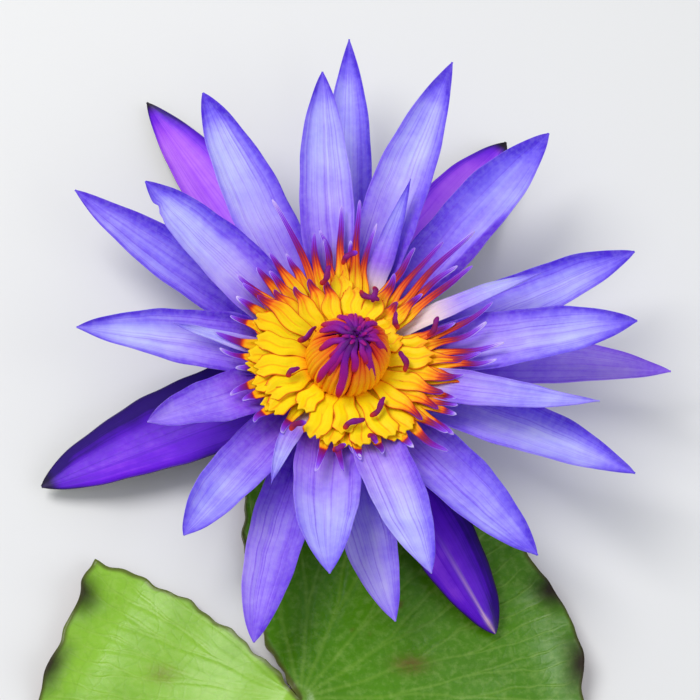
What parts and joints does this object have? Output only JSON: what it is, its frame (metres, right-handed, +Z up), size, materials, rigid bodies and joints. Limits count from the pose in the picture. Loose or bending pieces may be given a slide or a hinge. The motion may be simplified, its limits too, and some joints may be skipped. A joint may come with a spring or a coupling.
{
  "type": "water lily flower with pad",
  "caption": "Open star-shaped blue-violet water lily flower standing on its cut stalk at the slit of its round, toothed floating leaf.",
  "frame": {"origin": "middle of the plant's footprint, on the surface it stands on", "axes": "+Z up, the way the flower faces; the flower is towards +Y and the pad towards -Y; the petals' whole spread lies across X"},
  "size_m": [0.1262, 0.2, 0.0308],
  "materials": {
    "pad": "waxy leaf, satin, green over purple-brown below",
    "stalk": "smooth green-brown stalk",
    "receptacle": "smooth green plant tissue",
    "stigma": "matt yellow, rayed",
    "stamens": "matt yellow blades with violet tips",
    "stamen_tips": "matt magenta-purple tips over orange blades",
    "sepals": "dark violet inside, olive green streaked purple outside",
    "petals_low": "soft, finely veined, deep violet",
    "petals": "soft, finely veined, lavender blue with violet margins"
  },
  "bodies": {
    "root": {"pad_blade": "pad", "pad_petiole": "stalk", "flower_stem": "stalk", "receptacle": "receptacle", "stigma_disc": "stigma", "stamens_inner": "stamen_tips", "stamens_middle": "stamens", "stamens_outer": "stamens", "sepal_1": "sepals", "sepal_2": "sepals", "sepal_3": "sepals", "sepal_4": "sepals", "petal_01": "petals_low", "petal_02": "petals", "petal_03": "petals", "petal_04": "petals", "petal_05": "petals", "petal_06": "petals", "petal_07": "petals_low", "petal_08": "petals", "petal_09": "petals", "petal_10": "petals", "petal_11": "petals", "petal_12": "petals_low", "petal_13": "petals", "petal_14": "petals_low", "petal_15": "petals", "petal_16": "petals", "petal_17": "petals", "petal_18": "petals_low", "petal_19": "petals", "petal_20": "petals", "petal_21": "petals", "petal_22": "petals", "petal_23": "petals", "petal_24": "petals"}
  },
  "joints": []
}
